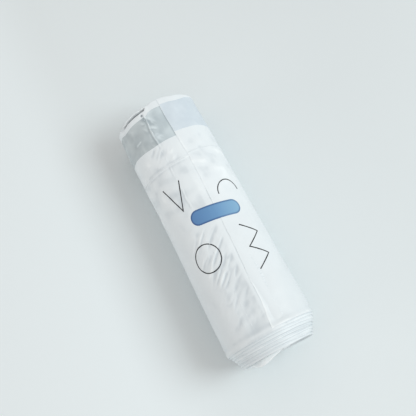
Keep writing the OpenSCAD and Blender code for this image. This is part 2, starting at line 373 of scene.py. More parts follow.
flat_place = add_node(winding, "ShaderNodeSeparateXYZ", {
    0: add_node(winding, "GeometryNodeInputPosition").outputs[0]})
turn = (Rule(winding, flat_place.outputs["X"]) + 0.5) * size["Turns"] + size["First turn"]
step = (Rule(winding, flat_place.outputs["Y"]) + 0.5) * profile_steps

# along the inside to the fold, around its nose, back along the outside, and over the cut rim
nose_from = size["Inner steps"]
outer_from = nose_from + size["Nose steps"]
rim_from = outer_from + size["Outer steps"]
reached = (step.part_of(nose_from)).least((rim_from - step).part_of(size["Outer steps"]))
nose_turn = (step - nose_from).part_of(size["Nose steps"]) * math.pi
rim_share = (step - rim_from).part_of(size["Rim steps"])

edge_share = turn.part_of(EDGE_RUN)
edge_share = edge_share * edge_share * (edge_share * -2 + 3)
thinned = size["Thin edge"] * -1 + 1
thickness = size["Turn thickness"] * (size["Thin edge"] + edge_share * thinned)
uneven = add_node(winding, "ShaderNodeTexNoise", {
    "Scale": 1, "Detail": 2, "W": turn * BUMPS_A_TURN + size["Seed"]}, noise_dimensions="1D")
ragged = (Rule(winding, uneven.outputs["Fac"]) - 0.5) * 2 * size["Unevenness"]
in_trench = turn.over(TRENCH_FROM) * ((turn * -1).over(-TRENCH_TO))
fold_at = (
    size["Length"]
    + size["Fold step"] * turn.least(size["Stepped turns"])
    - size["Dish step"] * (turn - size["Stepped turns"]).most(0)
    + ragged * (turn.part_of(2) + 0.5)
)
fold_at = fold_at + in_trench * (fold_at * -1 + TRENCH_FLOOR)
depth_share = turn / LAST_TURN
rim_at = (
    size["Hem place"]
    + size["Rim recess"] * depth_share * depth_share
    + size["Rim stagger"] * ((turn - STAGGER_FROM) * STAGGER_A_TURN).sine()
)
half_nose = thickness * 0.5
along = (
    rim_at
    + reached * (fold_at - half_nose - rim_at)
    + nose_turn.sine() * half_nose
    - (rim_share * math.pi).sine() * RIM_ROUNDING
)
depth = nose_turn.cosine() * 0.5 + 0.5 + rim_share
inner_taper = size["Taper"] * ((turn - TRENCH_TO).most(0).part_of(LAST_TURN - TRENCH_TO) * -1 + 1)
edge_drop = size["Turn thickness"] * (edge_share * -1 + 1) * -EDGE_DROP * thinned
radius = (
    size["Edge radius"]
    + inner_taper * along
    - size["Turn thickness"] * turn
    + edge_drop
    - depth * thickness
)
angle = turn * (2 * math.pi) + math.radians(FREE_EDGE)
geometry = sheet.outputs["Mesh"]
for label, value in (("turn", turn), ("along", along), ("depth", depth)):
    geometry = add_node(winding, "GeometryNodeStoreNamedAttribute", {
        "Name": label, "Geometry": geometry, "Value": value}).outputs["Geometry"]
wound_place = add_node(winding, "ShaderNodeCombineXYZ", {
    "X": along, "Y": radius * angle.sine(), "Z": radius * angle.cosine()})
bent = add_node(winding, "GeometryNodeSetPosition", {
    "Geometry": geometry, "Position": wound_place.outputs[0]})
closed = add_node(winding, "GeometryNodeMergeByDistance", {
    "Geometry": bent.outputs[0], "Distance": SEAM_REACH})
finish_tree(winding, closed.outputs[0], folded_film)


def winding_of(piece):
    """The points of a wound piece, and of each its turn, its place along and its depth."""
    points = np.zeros(len(piece.data.vertices) * 3)
    piece.data.vertices.foreach_get("co", points)
    stored = []
    for label in ("turn", "along", "depth"):
        stored.append(np.zeros(len(piece.data.vertices)))
        piece.data.attributes[label].data.foreach_get("value", stored[-1])
        piece.data.attributes.remove(piece.data.attributes[label])
    return points.reshape(-1, 3), *stored


def sew_ends(shape, along):
    """Closes the two open ends of a folded strip, each with a narrow band of faces that zips its
    inner to its outer side."""
    following = {}
    for edge in shape.edges:
        if edge.is_boundary:
            for a, b in (edge.verts, reversed(edge.verts)):
                following.setdefault(a, []).append(b)
    while following:
        ring = [next(iter(following))]
        before = None
        while len(ring) < 2 or ring[-1] != ring[0]:
            one, other = following[ring[-1]]
            before, here = ring[-1], other if one == before else one
            ring.append(here)
        ring.pop()
        for vertex in ring:
            del following[vertex]
        hem = min(range(len(ring)), key=lambda n: along[ring[n].index])
        ring = ring[hem:] + ring[:hem]
        fold = max(range(len(ring)), key=lambda n: along[ring[n].index])
        sides = [ring[:fold + 1], [ring[0]] + ring[:fold - 1:-1]]
        at, past_the_end = [0, 0], 1e6
        while at[0] < len(sides[0]) - 1 or at[1] < len(sides[1]) - 1:
            ahead = [along[s[min(n + 1, len(s) - 1)].index] + past_the_end * (n + 1 == len(s))
                     for s, n in zip(sides, at)]
            k = int(ahead[1] < ahead[0])
            corners = [sides[0][at[0]], sides[1][at[1]], sides[k][at[k] + 1]]
            at[k] += 1
            if len(set(corners)) == 3:
                shape.faces.new(corners)


def add_marks(piece, label, values):
    """Stores a value between 0 and 1 at each point of a piece, for its material to read."""
    marks = piece.data.attributes.new(label, "FLOAT", "POINT")
    marks.data.foreach_set("value", np.clip(values, 0, 1).astype(np.float32))


def face_outward(shape, mesh):
    """Turns the faces of a closed shape outward, smooth but for its sharp edges."""
    bmesh.ops.recalc_face_normals(shape, faces=shape.faces)
    for face in shape.faces:
        face.smooth = True
    for edge in shape.edges:
        edge.smooth = not edge.is_manifold or edge.calc_face_angle(0) < SHARP_EDGE
    shape.to_mesh(mesh)
    shape.free()


def close_and_lay(piece, points, wrap, tone_and_painted_light):
    """Puts the shaped points where the roll lies, closes the open ends of the sheet and turns its
    faces outward. wrap is the place on the unrolled film, and the last argument the film's random
    tone with its painted light and shade, for the material to read."""
    mesh = piece.data
    mesh.vertices.foreach_set("co", laid_down(points).ravel())
    corners = np.zeros(len(mesh.loops), int)
    mesh.loops.foreach_get("vertex_index", corners)
    layer = mesh.uv_layers.new(name="wrap")
    layer.data.foreach_set("uv", (wrap[corners] * MM).astype(np.float32).ravel())
    add_marks(piece, "tone_and_painted_light", tone_and_painted_light)
    shape = bmesh.new()
    shape.from_mesh(mesh)
    shape.verts.ensure_lookup_table()
    sew_ends(shape, points[:, 0])
    face_outward(shape, mesh)
    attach(piece, "root")
    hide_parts("film_roll")


def unrolled(points, along):
    """The place on the unrolled film of points round the roll's axis."""
    mean_radius = 30
    across, up = points[:, 1], points[:, 2]
    return np.stack([np.arctan2(across, up) * mean_radius, along + np.hypot(across, up)], 1)


# the outer bag's inner end lies buried under the turns that begin just past it
BURIED = 0.04
INNER_FROM = 0.999 + BURIED
SLIT_MIDDLE, SLIT_HALF = -36.0, 26.0


def degrees_at(turns):
    """The angle from the top toward +Y, between -180 and 180, after so many turns."""
    return (FREE_EDGE + 360 * turns + 180) % 360 - 180


def outward(degrees):
    """Unit vectors out of the roll at these angles."""
    a = np.radians(degrees)
    return np.stack([a * 0, np.sin(a), np.cos(a)], -1)


def beside_slit(degrees):
    """1 within the slit where the hem has lifted, 0 outside it."""
    return 1 - ease(np.abs(degrees - SLIT_MIDDLE), SLIT_HALF * 0.85, SLIT_HALF)


def slackness(along, degrees, turns):
    """How far the loosely wound hem end bulges out on its -Y side, less from turn to turn."""
    return 1.5 * span(-degrees, 25, 75, 100, 150) * (1 - ease(along, 15, 95)) * (
        1 - ease(turns, 1, 9))


def rim_reach(degrees):
    """How far the outer rims stand in or out of square, along the roll."""
    corners = ((-180, 0), (-72, 0), (-62, 3.2), (-50, 2.3), (-17, 1.7), (-13, -1.2), (-7, -2.1),
               (3, -1.9), (20, -1.4), (60, -0.7), (130, 0), (180, 0))
    return np.interp(degrees, *zip(*corners))


inner_turns = grow("inner_turns", winding, {
    **winding_sizes, "First turn": INNER_FROM, "Turns": LAST_TURN - INNER_FROM,
    "Steps a turn": 80,
}, folded_film)
points, turns, along, depth = winding_of(inner_turns)
degrees = degrees_at(turns)
layer = turns + np.clip(depth, 0, 1)
pressed = 1.1 * beside_slit(degrees) * (1 - ease(along, 4, 16)) * (1 - ease(layer, 2.1, 6))
points += outward(degrees) * (slackness(along, degrees, layer) - pressed)[:, None]
points[:, 0] += (1 - ease(along, 1, 12)) * (1 - ease(layer, 1.2, 3.5)) * (
    rim_reach(degrees) + 1.2 * beside_slit(degrees))
# painted shade on each turn's inner face, where it curls into the crevice against the next turn in
# at the fold and at the hem, over random tone
tone_and_painted_light = 0.72 - 0.30 * (depth > 0.95) + 0.25 * waves(turns * 40, along / 3, 11)
close_and_lay(inner_turns, points, unrolled(points, along), tone_and_painted_light)


# The loose turns
# A few turns in the middle of the folded end have slid part of the way out, as a packet pulled
# loosely from the roll does, and lean to the -Y side in the gap that they have left.
LOOSE_RADIUS, LOOSE_MIDDLE = 23.5, 204.9
LOOSE_LEAN, LOOSE_TILT = math.radians(-62), math.radians(5)
FLARE, FLARE_MIDDLE, FLARE_HALF = 3.0, -42.0, 46.0
loose_turns = grow("loose_turns", winding, {
    **winding_sizes, "First turn": 0.0, "Turns": 2.2, "Steps a turn": 90, "Nose steps": 8,
    "Edge radius": LOOSE_RADIUS, "Taper": 0.0, "Length": LOOSE_MIDDLE, "Fold step": -0.5,
    "Hem place": TRENCH_FLOOR - 1.5, "Rim stagger": 0.0, "Thin edge": 1.0, "Seed": 31.0,
    "Unevenness": 0.25,
}, loose_film)
points, turns, along, _ = winding_of(loose_turns)
wrap = unrolled(points, along)
flare = (1 - ease(np.abs(degrees_at(turns) - FLARE_MIDDLE), 0, FLARE_HALF)) * (turns < 1)
flare = flare * ease(along, LOOSE_MIDDLE - 5, LOOSE_MIDDLE - 1)
points += outward(degrees_at(turns)) * (1.5 * flare)[:, None]
lean = outward(np.degrees(LOOSE_LEAN))
toward, ahead = points @ lean, points[:, 0] + FLARE * flare - LOOSE_MIDDLE
points += np.outer(toward * math.cos(LOOSE_TILT) - ahead * math.sin(LOOSE_TILT) - toward, lean)
points[:, 0] = (LOOSE_MIDDLE + ahead * math.cos(LOOSE_TILT) + toward * math.sin(LOOSE_TILT))
# random tone, and a painted highlight on the flared lip, as if light shone through it from behind
close_and_lay(loose_turns, points, wrap, 0.75 + 0.15 * waves(turns * 30, along / 3, 15) + flare)


# The outer bag
# The last bag wound on is the skin of the roll: one smooth face of film, whose free edge lies
# along the top. Being pulled tight by hand it has tension wrinkles, and its hem is crumpled.
TEAR_DEGREES = -20.5
AROUND_STEPS, SKIN_ROWS = 350, 225
STICKER_AT, STICKER_DEGREES = 97.5, 5.0
TOP_RADIUS = EDGE_RADIUS - 0.3


def weld_at(turns):
    """The hem weld's distance from the rim: the bag's two panels don't quite meet square."""
    return 47.4 + 2.7 * ease(turns, 0.35, 0.65)


def edge_wander(along):
    """Degrees by which the free edge lies off its mean line, from the hem to the fold."""
    places = ((0, 2.2), (15, 2.4), (45, 4.2), (75, 4.6), (110, 3.0), (140, 1.2), (165, -1.0),
              (190, -4.2))
    return np.interp(along, *zip(*places))


def around_top(along, degrees):
    """Millimetres round the roll from its top, at a distance from the hem."""
    return np.radians(degrees) * (EDGE_RADIUS + TAPER * along)


def under_label(along, d):
    """1 where the stiff sticker keeps the film smooth, falling off to 0 around it."""
    return (1 - ease(np.abs(along - STICKER_AT), 6, 10)) * (1 - ease(np.abs(d - 3), 19, 24))


def skin_relief(along, degrees, turns):
    """How far the film stands out of the smooth winding, in millimetres, and how light its colour
    is painted there, from the random tone of its dents and from painted light and shade on its
    creases, weld, lip and free edge, for a place given as the distance from the hem and the angle
    from the top."""
    d = around_top(along, degrees)
    broad = 0.32 * waves(along / 46, d / 26 + 5, 1) + 0.13 * waves(along / 14, d / 17, 2)
    limp = 0.5 + span(along, 30, 42, 75, 95)
    dents = 0.13 * limp * waves(along / 6 - d / 20, d / 8 + along / 25, 18)
    crinkle = 0.045 * creases(along / 9 + d / 21, d / 7 - along / 30, 14) + 0.022 * creases(
        along / 3.6, d / 4.4 + 3, 16)

    # tension wrinkles run slantwise on the side that the free edge has pulled
    crest, cross = along * 0.67 - d * 0.74, along * 0.74 + d * 0.67
    pulled = span(along, 96, 120, 178, 187) * span(d, -32, -21, -4, 1) * (
        1 - 0.5 * ease(along, 150, 176))
    wrinkles = pulled * ease(waves(along / 17, d / 12, 5), -1.0, 0.1) * (
        0.24 * drawn_folds(crest / 21, cross / 6.1, 3)
        + 0.30 * drawn_folds(crest / 12, cross / 3.6 + 9, 4)
        + 0.08 * creases(crest / 7, cross / 2.1 + 2, 19))

    # the hem is crumpled between the tape and its weld, and less so over the tape
    wrinkles += span(along, 30, 35, 46, 49) * span(d, -25, -18, -7, -1) * (
        0.30 * drawn_folds(crest / 12, cross / 4.6 + 4, 6)
        + 0.14 * creases(crest / 7, cross / 2.8, 17))
    wrinkles += span(along, 2, 6, 30, 33) * span(d, -19, -14, -9, -4) * (
        0.20 * drawn_folds(cross / 7.5, crest / 5.2, 7)
        + 0.14 * drawn_folds(cross / 3.9, crest / 3.4 + 7, 8))

    # the weld stands up as a thin rib, and small puckers lead away from it
    off_weld = along - weld_at(turns)
    weld = swell(off_weld, 0.6) - 0.45 * swell(np.abs(off_weld) - 1.7, 0.8)
    puckers = np.exp(-np.abs(off_weld) / 5) * waves(along / 9, d / 2.6, 9) * 0.09

    # the tear line is a low crease, strong in the hem and faint further on
    off_line = d - around_top(along, TEAR_DEGREES) - 0.6 * ripple(along / 6, 10)
    strength = (0.75 * span(along, 1, 4, 32, 36) + 0.5 * span(along, 50, 53, 57, 60)
                + 0.6 * span(along, 69, 73, 84, 88) + 0.12)
    tear = strength * (0.21 * swell(off_line, 0.5) - 0.20 * swell(off_line + 1.3, 0.65)
                       - 0.10 * swell(off_line - 1.2, 0.6))

    # the sticker pinches the film at its ends
    pinch = 0.12 * swell(along - STICKER_AT, 14) * creases(along / 5, d / 9, 12) * (
        swell(d + 21, 7) + 0.6 * swell(d - 27, 7))

    # the hem rim flutters, and the film is slack behind the free edge
    flutter = np.exp(-np.clip(along, 0, None) / 5) * waves(d / 9, along * 0 + 0.5, 13) * 0.3
    slack = -0.9 * span(d, 0.5, 6, 8, 22) * span(along, 100, 160, 184, 190)

    # next to the free edge the film is drawn flat, toward the fold
    flat = -0.95 * np.clip(1 - ((d + 9.5) / 8.5) ** 2, 0, 1) * (
        0.4 * ease(along, 50, 62) + 0.6 * ease(along, 112, 165)) * (1 - 0.5 * ease(along, 182, 190))

    # the last fold is a soft rounded lip, pressed in on its far shoulder
    beyond_fold = along - ROLL_LENGTH
    lip = 0.16 * swell(beyond_fold + 0.9, 1.0) - 0.12 * swell(beyond_fold + 3.8, 1.5)
    shoulder = -0.9 * ease(along, 180, ROLL_LENGTH) * ease(degrees, 40, 75)

    smooth = 1 - 0.85 * under_label(along, d)
    sharp = (wrinkles + pinch + puckers + tear + crinkle) * smooth
    relief = (broad + dents) * (0.4 + 0.6 * smooth) + sharp + flutter + slack * smooth
    relief += 0.11 * weld + lip + flat + shoulder
    resting = 1 - ease(np.abs(degrees), 128, 158)
    # painted shade in a band along the -Y side of the free edge
    shade_of_edge = span(d, -42, -8, -2, 0) * (
        0.12 * ease(along, 50, 60) + 0.06 * ease(along, 110, 150))
    # the colour: painted highlights on the weld, stronger on the -Y side, and on the fold's lip,
    # the random tone of the dents, less the painted shade by the free edge; the creases add painted
    # light on their ridges and painted shade in their hollows
    painted_light_and_tone = weld * (0.06 + 0.20 * ease(turns, 0.35, 0.65)) + 0.9 * lip + dents - shade_of_edge
    return relief * resting, (sharp + painted_light_and_tone) * resting


def shaped_skin(points, turns, along, depth):
    """Gives the outer turn its relief, its lifted slit and its ragged free edge."""
    degrees = degrees_at(turns) + edge_wander(along) * (1 - ease(turns, 0, 0.3))
    relief, sharp = skin_relief(along, degrees, turns)
    outside = 1 - np.clip(depth, 0, 1)
    buried = ease(turns, 1.018, 1.032)
    free = (1 - ease(turns, 0, 0.02)) * (1 - under_label(along, around_top(along, degrees)))
    nose = ease(along, ROLL_LENGTH - 1, ROLL_LENGTH + 1)
    slit = beside_slit(degrees)
    lift = slit * (1 - ease(along, 0, 9)) * (0.5 + 0.65 * (1 - outside))
    dot = swell(along - 2.2, 1.2) * swell(degrees - TEAR_DEGREES + 3, 2.3) * outside
    radius = (
        np.hypot(points[:, 1], points[:, 2])
        + relief * outside * (1 - buried) * (1 - 0.7 * nose) - 0.1 * buried + lift
        + slackness(along, degrees, turns + np.clip(depth, 0, 1)) - 0.9 * dot
        + 0.05 * free * ripple(along / 11, 21)
    )
    frayed = free * (0.45 * ripple(along / 17, 22) + 0.2 * ripple(along / 5, 23))
    points = outward(degrees + np.degrees(frayed / 32)) * radius[:, None]
    jagged = 0.5 * swell(degrees + 9, 6) * ripple(degrees / 1.7, 25)
    points[:, 0] = (
        along + (1 - ease(along, 1, 10)) * (
            rim_reach(degrees) + jagged + 0.25 * ripple(degrees / 9, 24))
        + 0.9 * ease(along, 150, ROLL_LENGTH) * span(-degrees, 10, 90, 120, 170)
    )

    # a painted highlight along the free edge toward the fold, and a fine painted shade under it
    # over the tape
    lower_edge = 1 + edge_wander(along) / 360
    edge_light = 0.75 * swell(turns, 0.005) * (0.2 + 0.8 * ease(along, 118, 145))
    edge_shade = 0.42 * swell(lower_edge - turns, 0.0035) * (
        1 - 0.9 * ease(along, 30, 40) + 0.2 * ease(along, 120, 160))
    # painted shade: the open slit under the lifted hem goes nearly black, and the dimple at the
    # tear line's start is darkened
    inside = slit * (1 - ease(along, 1, 3)) * (1 - outside)
    tone_and_painted_light = np.clip(0.62 + sharp * 1.6 + (edge_light - edge_shade) * outside, 0.14, 1)
    return points, tone_and_painted_light - 0.8 * inside - 0.9 * dot


outer_bag = grow("outer_bag", winding, {
    **winding_sizes, "First turn": 0.0, "Turns": 1.0 + BURIED, "Steps a turn": AROUND_STEPS,
    "Inner steps": 8, "Nose steps": 8, "Outer steps": SKIN_ROWS, "Rim steps": 4,
    "Unevenness": 0.3,
}, bag_film)
points, turns, along, depth = winding_of(outer_bag)
points, tone_and_painted_light = shaped_skin(points, turns, along, depth)
close_and_lay(outer_bag, points, unrolled(points, along), tone_and_painted_light)


def turns_at(degrees):
    """How far round from the free edge an angle lies, as a share of a turn."""
    return ((degrees - FREE_EDGE) / 360) % 1.0


def edge_fall(turns):
    """How far the thin free edge lies lower than a full turn would."""
    return TURN * (1 - ease(turns, 0, EDGE_RUN)) * EDGE_DROP * (1 - THIN_EDGE)


def on_skin(along, turns, lift):
    """Points at the given height over the outer bag's surface, round the roll's axis, and the
    film's random tone with its painted light and shade there."""
    radius = EDGE_RADIUS + TAPER * along - TURN * turns - edge_fall(turns)
    points = outward(degrees_at(turns)) * radius[:, None]
    points, tone_and_painted_light = shaped_skin(points, turns, along, turns * 0)
    away = points * [0, 1, 1]
    away /= np.linalg.norm(away, axis=1)[:, None]
    return points + away * np.asarray(lift)[..., None], tone_and_painted_light


def sheet_grid(rows, columns, first, last):
    """Places across a sheet from 0 to 1, row by row, and along it from first to last."""
    share, sweep = np.meshgrid(np.linspace(0, 1, rows), np.linspace(first, last, columns),
                               indexing="ij")
    return share.ravel(), sweep.ravel()


def closed_sheet(name, upper, lower, rows, material):
    """A closed thin body between two facing sheets of points, each of so many rows."""
    count = len(upper)
    corner = np.arange(count).reshape(rows, -1)
    faces = []
    for shift, order in ((0, 1), (count, -1)):
        quads = np.stack([corner[:-1, :-1], corner[1:, :-1], corner[1:, 1:], corner[:-1, 1:]], -1)
        faces += [quad[::order] + shift for quad in quads.reshape(-1, 4)]
    rim = np.concatenate([corner[0, :], corner[1:, -1], corner[-1, -2::-1], corner[-2:0:-1, 0]])
    faces += [(a, b, b + count, a + count) for a, b in zip(rim, np.roll(rim, -1))]
    mesh = bpy.data.meshes.new(name)
    places = np.concatenate([upper, lower])
    mesh.from_pydata([tuple(v) for v in places], [], [tuple(int(v) for v in f) for f in faces])
    mesh.materials.append(material)
    sheet = bpy.data.objects.new(name, mesh)
    bpy.context.scene.collection.objects.link(sheet)
    return sheet, places


def lay_sheet(piece, places, node):
    """Lays a closed sheet down with the roll, smooth but for its edges, for a CAD node."""
    touching = 1e-7
    piece.data.vertices.foreach_set("co", laid_down(places).ravel())
    shape = bmesh.new()
    shape.from_mesh(piece.data)
    bmesh.ops.remove_doubles(shape, verts=shape.verts, dist=touching)
    bmesh.ops.dissolve_degenerate(shape, edges=shape.edges, dist=touching)
    face_outward(shape, piece.data)
    piece.data.update()
    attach(piece, "root")
    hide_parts(node)


# The bared hem ply
# Where the outermost ply of the hem has lifted, the ply under it shows past the slit as a thin
# curled lip. It is the same film, held between the turns further in.
PLY, PLY_FROM, PLY_TO, PLY_HELD = 0.28, -66, -9, 13
PLY_ROWS, PLY_COLUMNS = 26, 90
share, sweep = sheet_grid(PLY_ROWS, PLY_COLUMNS, PLY_FROM, PLY_TO)
bared = beside_slit(sweep)
ply_tip = 1.8 - 3.1 * bared * (1 + 0.12 * ripple(sweep / 6, 51)) + 1.9 * ease(-sweep, 30, 60)
ply_along = PLY_HELD * (1 - share) ** 2 + ply_tip * share
curl = ease(ply_tip + 1.5 - ply_along, 0, 1.5)
ply_drop = -1.35 - 0.55 * bared * (1 - ease(ply_along, 1, 8)) + 1.75 * curl * bared
held_along = np.clip(ply_along, 2.5, None)
top, _ = on_skin(held_along, turns_at(sweep), ply_drop)
bottom, _ = on_skin(held_along, turns_at(sweep), ply_drop - PLY)
top[:, 0], bottom[:, 0] = ply_along, ply_along + 0.5 * PLY * curl
hem_ply, places = closed_sheet("bared_hem_ply", top, bottom, PLY_ROWS, bag_film)
# a painted highlight on the curled lip, and near black painted shade on the rest of the ply, down
# in the slit
add_marks(hem_ply, "tone_and_painted_light", np.tile(curl * 1.2, 2))
lay_sheet(hem_ply, places, "film_roll")


# The drawstring tapes
# Each bag has a flat film tape inside its hem, one for the front panel and one for the back. They
# show through the hem: the near one pale, the far one darker, where it is crumpled at the tear.
TAPE_LIFT, TAPE_SINK = 0.07, 0.30
TAPE_ROWS, TAPE_COLUMNS = 37, 200


def tape_material(name, colour, crumpled, contrast):
    """Flat film tape seen through the hem: its colour, its colour where it is crumpled, and how
    strongly painted shade and painted highlights mark its creases."""
    paint = Paint(name, {"Specular IOR Level": 0.45})
    clouds = paint.noise(paint.place, 95, 4)
    plain = paint.node("Mix", {
        "Factor": paint.mark("band"), "A": (*colour, 1), "B": (*crumpled, 1)}, data_type="RGBA")
    # painted shade in the creases' hollows and painted highlights on their ridges
    shade = paint.ramp(paint.mark("tone_and_painted_light"), {
        0.15: [1 - contrast * c for c in (0.28, 0.25, 0.23)], 0.55: (1, 1, 1),
        0.95: [1 + contrast * c for c in (0.45, 0.42, 0.40)]})
    lit = paint.multiplied(plain.outputs["Result"], shade, clamp_result=True)
    soft = paint.ramp(clouds, {0.35: (0.93, 0.94, 0.95), 0.65: (1, 1, 1)})
    return paint.finished({
        "Base Color": paint.multiplied(lit, soft),
        "Roughness": paint.carried(clouds, 0.32, 0.5),
        "Normal": paint.bump(clouds, 0.2, 0.0002)})


def lay_tape(node, material, start, width, first, last, seed):
    """A tape in the hem from one turn to another, its long edges a little wavy."""
    share, sweep = sheet_grid(TAPE_ROWS, TAPE_COLUMNS, first, last)
    degrees = degrees_at(sweep)
    edge_wave = 0.2 * waves(sweep * 32, 3.0 * (share > 0.5), seed)
    narrowed = 1.6 * span(-degrees, 20, 60, 110, 170) - 2.6 * span(degrees, 30, 62, 100, 160)
    along = start + np.where(narrowed > 0, 0.4, 1) * narrowed + (width - narrowed) * share
    along += edge_wave
    top, tone_and_painted_light = on_skin(along, sweep, TAPE_LIFT)
    bottom, _ = on_skin(along, sweep, -TAPE_SINK)
    tape, places = closed_sheet(node + "_film", top, bottom, TAPE_ROWS, material)
    beyond_tear = ease(-degrees, 20, 22) * (0.85 + 0.15 * waves(along / 7, degrees / 9, seed + 1))
    # a painted highlight on a small crease, which falls on the back tape
    painted_crease_highlight = swell(along - 21.2 + 0.1 * (degrees + 46), 0.55) * span(degrees, -53, -50, -43, -40)
    add_marks(tape, "band", np.tile(beyond_tear, 2))
    add_marks(tape, "tone_and_painted_light", np.tile(tone_and_painted_light + 0.5 * painted_crease_highlight, 2))
    lay_sheet(tape, places, node)


PALE, GREY, CRUMPLED_GREY = (0.64, 0.725, 0.785), (0.52, 0.600, 0.632), (0.455, 0.515, 0.534)
pale_tape = tape_material("pale_tape", PALE, PALE, 0.2)
grey_tape = tape_material("grey_tape", GREY, CRUMPLED_GREY, 1.0)
lay_tape("drawstring_tape_front", pale_tape, 3.8, 24.0, 0.0012, 0.4985, 31)
lay_tape("drawstring_tape_back", grey_tape, 4.7, 26.4, 0.503, 1.015, 33)


# The closure sticker
# A round-ended label of coated paper holds the free edge down. It is printed blue with a darker
# rim, and its blue runs from dark at one end to light at the other as a painted sheen. It has a
# soft gloss, and bridges the step at the free edge.
STICKER_LONG, STICKER_WIDE, STICKER_SKEW = 40.0, 12.0, math.radians(7)
STICKER_LIFT, STICKER_SINK, BRIDGE_RUN = 0.16, 0.06, 3.5
STICKER_ROWS, STICKER_COLUMNS = 72, 17
paint = Paint("sticker_paint", {"Coat Weight": 0.35, "Coat Roughness": 0.22, "Roughness": 0.42})
# painted sheen: the blue runs from dark at one end to light at the other
blues = paint.ramp(paint.mark("lengthwise"), {
    0: (0.078, 0.205, 0.440), 0.55: (0.130, 0.300, 0.530), 1: (0.225, 0.440, 0.635)})
rim_tone = paint.ramp(paint.mark("inward"), {0.13: (0.42, 0.50, 0.62), 0.25: (1, 1, 1)})
fibres = paint.noise(paint.place, 700, 3)
sticker_paint = paint.finished({
    "Base Color": paint.multiplied(blues, rim_tone), "Normal": paint.bump(fibres, 0.12, 0.0001)})

half_wide = STICKER_WIDE / 2
straight = STICKER_LONG / 2 - half_wide
lengths = STICKER_LONG / 2 * np.sin(np.linspace(-math.pi / 2, math.pi / 2, STICKER_ROWS))
widths = np.sqrt(half_wide ** 2 - np.clip(np.abs(lengths) - straight, 0, half_wide) ** 2)
across = np.sin(np.linspace(-math.pi / 2, math.pi / 2, STICKER_COLUMNS))
p, q = np.outer(widths, across).ravel(), np.repeat(lengths, STICKER_COLUMNS)
sticker_radius = TOP_RADIUS + TAPER * STICKER_AT
sticker_along = STICKER_AT + p * math.cos(STICKER_SKEW) + q * math.sin(STICKER_SKEW)
skewed_d = q * math.cos(STICKER_SKEW) - p * math.sin(STICKER_SKEW)
sticker_degrees = np.degrees(math.radians(STICKER_DEGREES) + skewed_d / sticker_radius)
inward = half_wide - np.hypot(np.clip(np.abs(q) - straight, 0, None), p)
thick = STICKER_LIFT * np.sqrt(np.clip(inward / 0.5, 0.12, 1))


def over_the_edge(along, degrees, lift):
    """Points over the outer bag's surface, with a smooth bridge down the step at its free edge."""
    edge = FREE_EDGE + edge_wander(along)
    upper = np.clip((degrees - edge) / 360, 0, 1)
    for _ in range(3):
        moved = edge_wander(along) * (1 - ease(upper, 0, 0.3))
        upper = np.clip((degrees - FREE_EDGE - moved) / 360, 0, 1)
    run = np.degrees(BRIDGE_RUN / sticker_radius)
    raised = ease(degrees, edge - run, edge)
    lower = 1 + (degrees - FREE_EDGE) / 360
    radius = EDGE_RADIUS + TAPER * along - TURN * lower * (1 - raised) - (
        TURN * upper + edge_fall(upper)) * raised
    points = outward(degrees) * (radius + skin_relief(along, degrees, upper)[0] + lift)[:, None]
    points[:, 0] = along
    return points


closure_label, places = closed_sheet(
    "closure_label", over_the_edge(sticker_along, sticker_degrees, thick),
    over_the_edge(sticker_along, sticker_degrees, -STICKER_SINK), STICKER_ROWS, sticker_paint)
add_marks(closure_label, "lengthwise", np.tile(q / STICKER_LONG + 0.5, 2))
add_marks(closure_label, "inward", np.tile(inward / half_wide, 2))
lay_sheet(closure_label, places, "closure_sticker")


# The printed lines
# One matt black ink, laid on the flat film before the bags are wound, so it follows every crease.
# A ring and a chevron stand on one side of the sticker, a half ring and a zigzag on the other.
INK_WIDTH, INK_LIFT, INK_SINK, INK_STEP = 0.8, 0.07, 0.05, 0.8
PRINT_SIDE, RING_WIDE, HALF_RING_WIDE = 19.0, 22.0, 20.0
CHEVRON_LONG, CHEVRON_HALF, ZIG_LONG, ZIG_WIDE = 22, 8, 9, 13
paint = Paint("matt_ink", {"Roughness": 0.55, "Specular IOR Level": 0.3})
ink = paint.finished({"Base Color": paint.ramp(paint.noise(paint.place, 900, 3), {
    0.5: (0.011, 0.012, 0.014), 0.8: (0.050, 0.054, 0.060)})})


def ink_line(corners):
    """One printed line through places given as distance from the hem and round from the top:
    its upper and lower points, three to a row, and how many rows they make."""
    corners = np.asarray(corners, float)
    legs = np.linalg.norm(np.diff(corners, axis=0), axis=1)
    run = np.concatenate([[0], np.cumsum(legs)])
    steps = np.unique(np.concatenate([np.arange(0, run[-1], INK_STEP), run]))
    middle = np.stack([np.interp(steps, run, corners[:, k]) for k in (0, 1)], 1)
    leg = np.clip(np.searchsorted(run, steps, side="right") - 1, 0, len(legs) - 1)
    before = np.clip(np.searchsorted(run, steps - 1e-6, side="right") - 1, 0, len(legs) - 1)
    heading = np.diff(corners, axis=0) / legs[:, None]
    normals = np.stack([-heading[:, 1], heading[:, 0]], 1)
    side = normals[leg] + normals[before]
    side /= np.linalg.norm(side, axis=1)[:, None]
    side /= np.clip((side * normals[leg]).sum(1), 0.4, 1)[:, None]
    half = INK_WIDTH / 2 * (1 + 0.12 * ripple(steps / 3, 41))
    sides = np.stack([middle - side * half[:, None], middle, middle + side * half[:, None]], 1)
    along, d = sides[..., 0].ravel(), sides[..., 1].ravel()
    degrees = np.degrees(d / (TOP_RADIUS + TAPER * along))
    top, _ = on_skin(along, turns_at(degrees), INK_LIFT)
    bottom, _ = on_skin(along, turns_at(degrees), -INK_SINK)
    return top, bottom, len(steps)


def circle_line(middle, d, start, end):
    """Places along a part of a circle, from one angle to another."""
    turns = np.radians(np.linspace(start, end, 49))
    radius = d / 2 - INK_WIDTH / 2
    return [(middle[0] + radius * math.cos(a), middle[1] + radius * math.sin(a)) for a in turns]


